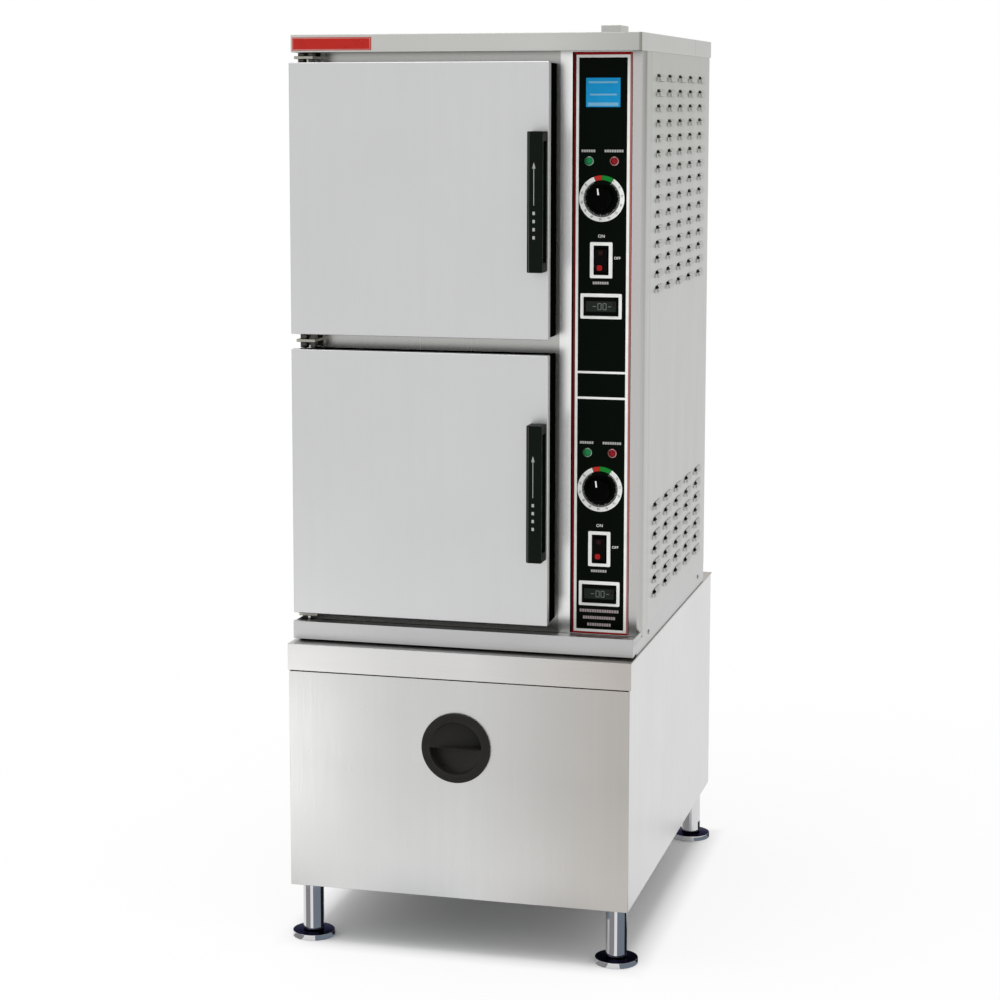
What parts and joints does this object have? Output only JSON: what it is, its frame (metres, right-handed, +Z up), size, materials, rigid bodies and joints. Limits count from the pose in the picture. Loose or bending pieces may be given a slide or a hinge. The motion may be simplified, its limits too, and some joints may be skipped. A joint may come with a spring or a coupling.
{
  "type": "convection steamer",
  "caption": "Free-standing commercial convection steamer: stacked cooking compartments with lift-latch doors, a side control column and a base cabinet on levelling legs.",
  "frame": {"origin": "on the floor, under the middle of the whole object", "axes": "+Z up, the doors and controls face -Y, +X to the right seen from the front"},
  "size_m": [0.625, 0.844, 1.6165],
  "materials": {
    "stainless": "fine brushed stainless sheet",
    "inner_steel": "plain mill stainless",
    "polished_steel": "polished stainless",
    "black_plastic": "satin black moulding",
    "edge_plastic": "dull black door edge",
    "gasket_rubber": "soft black silicone",
    "overlay_film": "smooth black panel film",
    "motor_paint": "dark paint",
    "display_glass": "smoked window",
    "green_lens": "green lamp lens",
    "red_lens": "red lamp lens"
  },
  "bodies": {
    "cabinet": {"base_shell": "stainless", "base_top": "stainless", "leg_front_left": "polished_steel", "leg_front_right": "polished_steel", "leg_rear_left": "polished_steel", "leg_rear_right": "polished_steel", "bottom_pan": "stainless", "front_frame": "stainless", "left_side_panel": "stainless", "right_side_panel": "stainless", "rear_panel": "stainless", "top_cap": "stainless", "steam_vent": "stainless", "upper_cavity": "inner_steel", "lower_cavity": "inner_steel", "upper_steam_generator": "inner_steel", "lower_steam_generator": "inner_steel", "upper_pan_rack": "polished_steel", "lower_pan_rack": "polished_steel", "upper_fan_baffle": "inner_steel", "lower_fan_baffle": "inner_steel", "upper_fan_motor": "motor_paint", "lower_fan_motor": "motor_paint", "top_hinge": "polished_steel", "middle_hinge": "polished_steel", "bottom_hinge": "polished_steel", "control_overlay": "overlay_film", "upper_timer": "black_plastic", "lower_timer": "black_plastic", "upper_ready_lamp": "green_lens", "lower_ready_lamp": "green_lens", "upper_cooking_lamp": "red_lens", "lower_cooking_lamp": "red_lens", "upper_switch_body": "black_plastic", "lower_switch_body": "black_plastic", "upper_display": "display_glass", "lower_display": "display_glass", "drain_pipe": "polished_steel"},
    "upper_door": {"upper_door_skin": "stainless", "upper_door_core": "edge_plastic", "upper_door_liner": "inner_steel", "upper_door_gasket": "gasket_rubber"},
    "lower_door": {"lower_door_skin": "stainless", "lower_door_core": "edge_plastic", "lower_door_liner": "inner_steel", "lower_door_gasket": "gasket_rubber"},
    "upper_latch": {"upper_handle": "black_plastic"},
    "lower_latch": {"lower_handle": "black_plastic"},
    "upper_timer_dial": {"upper_timer_knob": "black_plastic"},
    "lower_timer_dial": {"lower_timer_knob": "black_plastic"},
    "upper_switch": {"upper_rocker": "black_plastic"},
    "lower_switch": {"lower_rocker": "black_plastic"},
    "upper_blower": {"upper_blower_wheel": "inner_steel"},
    "lower_blower": {"lower_blower_wheel": "inner_steel"},
    "base_panel": {"base_front_panel": "stainless"},
    "panel_grip": {"turn_grip": "black_plastic"},
    "front_left_foot": {"foot_front_left": "polished_steel"},
    "front_right_foot": {"foot_front_right": "polished_steel"},
    "rear_left_foot": {"foot_rear_left": "polished_steel"},
    "rear_right_foot": {"foot_rear_right": "polished_steel"}
  },
  "joints": [
    {"name": "upper_door_hinge", "type": "hinge", "parent": "cabinet", "child": "upper_door", "pos_m": [-0.29, -0.351, 1.3085], "axis": [0, 0, -1], "range_deg": [0, 165]},
    {"name": "lower_door_hinge", "type": "hinge", "parent": "cabinet", "child": "lower_door", "pos_m": [-0.29, -0.351, 0.8175], "axis": [0, 0, -1], "range_deg": [0, 165]},
    {"name": "upper_handle_lift", "type": "slide", "parent": "upper_door", "child": "upper_latch", "axis": [0, 0, 1], "range_m": [0, 0.012]},
    {"name": "lower_handle_lift", "type": "slide", "parent": "lower_door", "child": "lower_latch", "axis": [0, 0, 1], "range_m": [0, 0.012]},
    {"name": "upper_timer_turn", "type": "hinge", "parent": "cabinet", "child": "upper_timer_dial", "pos_m": [0.2285, -0.3168, 1.312], "axis": [0, 1, 0], "range_deg": [0, 300]},
    {"name": "lower_timer_turn", "type": "hinge", "parent": "cabinet", "child": "lower_timer_dial", "pos_m": [0.2285, -0.3168, 0.816], "axis": [0, 1, 0], "range_deg": [0, 300]},
    {"name": "upper_switch_rock", "type": "hinge", "parent": "cabinet", "child": "upper_switch", "pos_m": [0.2285, -0.3141, 1.2075], "axis": [1, 0, 0], "range_deg": [-12, 12]},
    {"name": "lower_switch_rock", "type": "hinge", "parent": "cabinet", "child": "lower_switch", "pos_m": [0.2285, -0.3141, 0.7115], "axis": [1, 0, 0], "range_deg": [-12, 12]},
    {"name": "upper_blower_spin", "type": "hinge", "parent": "cabinet", "child": "upper_blower", "pos_m": [0.156, -0.0317, 1.3235], "axis": [1, 0, 0], "continuous": true},
    {"name": "lower_blower_spin", "type": "hinge", "parent": "cabinet", "child": "lower_blower", "pos_m": [0.156, -0.0317, 0.8325], "axis": [1, 0, 0], "continuous": true},
    {"name": "base_panel_pull", "type": "slide", "parent": "cabinet", "child": "base_panel", "axis": [0, -1, 0], "range_m": [0, 0.15]},
    {"name": "panel_grip_turn", "type": "hinge", "parent": "base_panel", "child": "panel_grip", "pos_m": [0, -0.416, 0.371], "axis": [0, 1, 0], "range_deg": [0, 90]},
    {"name": "front_left_foot_screw", "type": "slide", "parent": "cabinet", "child": "front_left_foot", "axis": [0, 0, -1], "range_m": [0, 0.025]},
    {"name": "front_right_foot_screw", "type": "slide", "parent": "cabinet", "child": "front_right_foot", "axis": [0, 0, -1], "range_m": [0, 0.025]},
    {"name": "rear_left_foot_screw", "type": "slide", "parent": "cabinet", "child": "rear_left_foot", "axis": [0, 0, -1], "range_m": [0, 0.025]},
    {"name": "rear_right_foot_screw", "type": "slide", "parent": "cabinet", "child": "rear_right_foot", "axis": [0, 0, -1], "range_m": [0, 0.025]}
  ]
}
